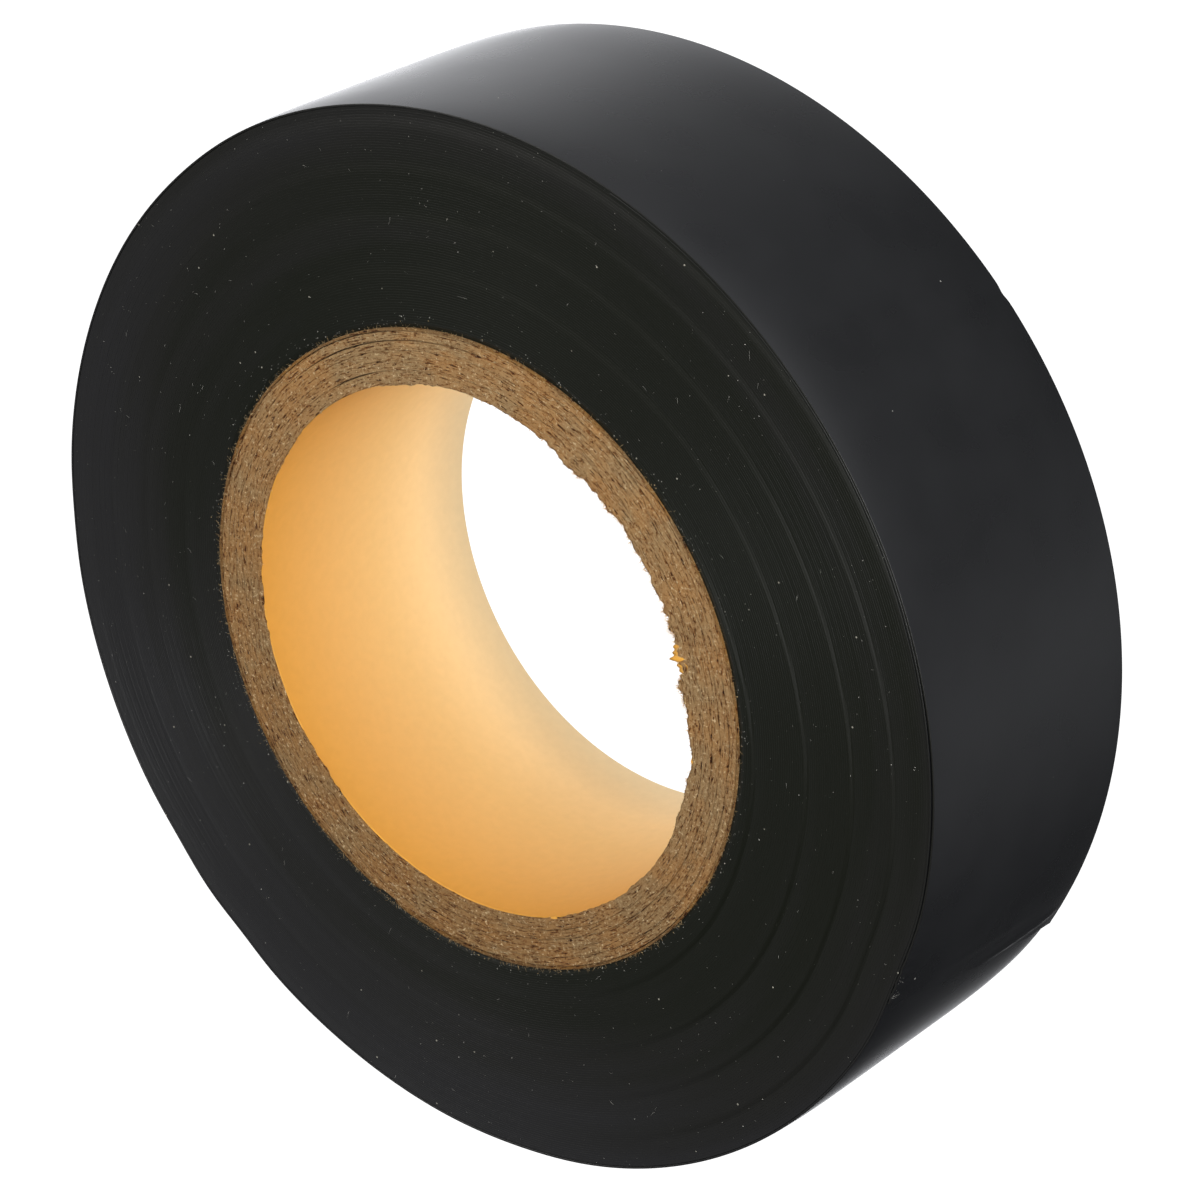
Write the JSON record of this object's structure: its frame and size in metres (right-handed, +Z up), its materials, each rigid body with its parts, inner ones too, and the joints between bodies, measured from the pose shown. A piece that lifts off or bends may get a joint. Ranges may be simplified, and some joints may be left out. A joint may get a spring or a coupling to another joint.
{
  "type": "electrical tape roll",
  "caption": "Part-used roll of black PVC electrical tape on a greyboard core, with a free tail that peels off its rim.",
  "frame": {"origin": "on the roll's axis, in the plane of the lower side face that the roll rests on", "axes": "+Z up along the axis of the roll and its bore; the strip's free end is at -40 degrees from +X, and the strip runs anticlockwise from it, seen from above"},
  "size_m": [0.0638, 0.0637, 0.0181],
  "materials": {
    "pvc_tape": "satin",
    "tape_edge": "satin",
    "greyboard": "matte",
    "kraft_wrap": "matte",
    "amber_liner": "satin"
  },
  "bodies": {
    "roll": {"core_liner": "amber_liner", "core_ply_1": "greyboard", "core_ply_2": "greyboard", "core_ply_3": "greyboard", "core_ply_4": "greyboard", "core_ply_5": "greyboard", "core_wrap": "kraft_wrap", "winding_1": "tape_edge", "winding_2": "tape_edge", "winding_3": "tape_edge", "winding_4": "tape_edge", "winding_5": "tape_edge", "last_turn": "pvc_tape"},
    "tail_1": {"tail_1": "pvc_tape"},
    "tail_2": {"tail_2": "pvc_tape"},
    "tail_3": {"tail_3": "pvc_tape"},
    "tail_4": {"tail_4": "pvc_tape"},
    "tail_5": {"tail_5": "pvc_tape"}
  },
  "joints": [
    {"name": "tail_peel", "type": "hinge", "parent": "roll", "child": "tail_1", "pos_m": [0.02054, 0.02442, 0.0091], "axis": [0, 0, 1], "range_deg": [0, 72]},
    {"name": "tail_bend_2", "type": "hinge", "parent": "tail_1", "child": "tail_2", "pos_m": [0.02709, 0.01689, 0.0091], "axis": [0, 0, 1], "range_deg": [0, 18]},
    {"name": "tail_bend_3", "type": "hinge", "parent": "tail_2", "child": "tail_3", "pos_m": [0.03099, 0.0077, 0.0091], "axis": [0, 0, 1], "range_deg": [0, 18]},
    {"name": "tail_bend_4", "type": "hinge", "parent": "tail_3", "child": "tail_4", "pos_m": [0.03186, -0.00225, 0.0091], "axis": [0, 0, 1], "range_deg": [0, 18]},
    {"name": "tail_bend_5", "type": "hinge", "parent": "tail_4", "child": "tail_5", "pos_m": [0.02962, -0.01198, 0.0091], "axis": [0, 0, 1], "range_deg": [0, 18]}
  ],
  "couplings": [
    {"joint": "tail_bend_2", "follows": "tail_peel", "ratio": 0.25},
    {"joint": "tail_bend_3", "follows": "tail_peel", "ratio": 0.25},
    {"joint": "tail_bend_4", "follows": "tail_peel", "ratio": 0.25},
    {"joint": "tail_bend_5", "follows": "tail_peel", "ratio": 0.25}
  ]
}
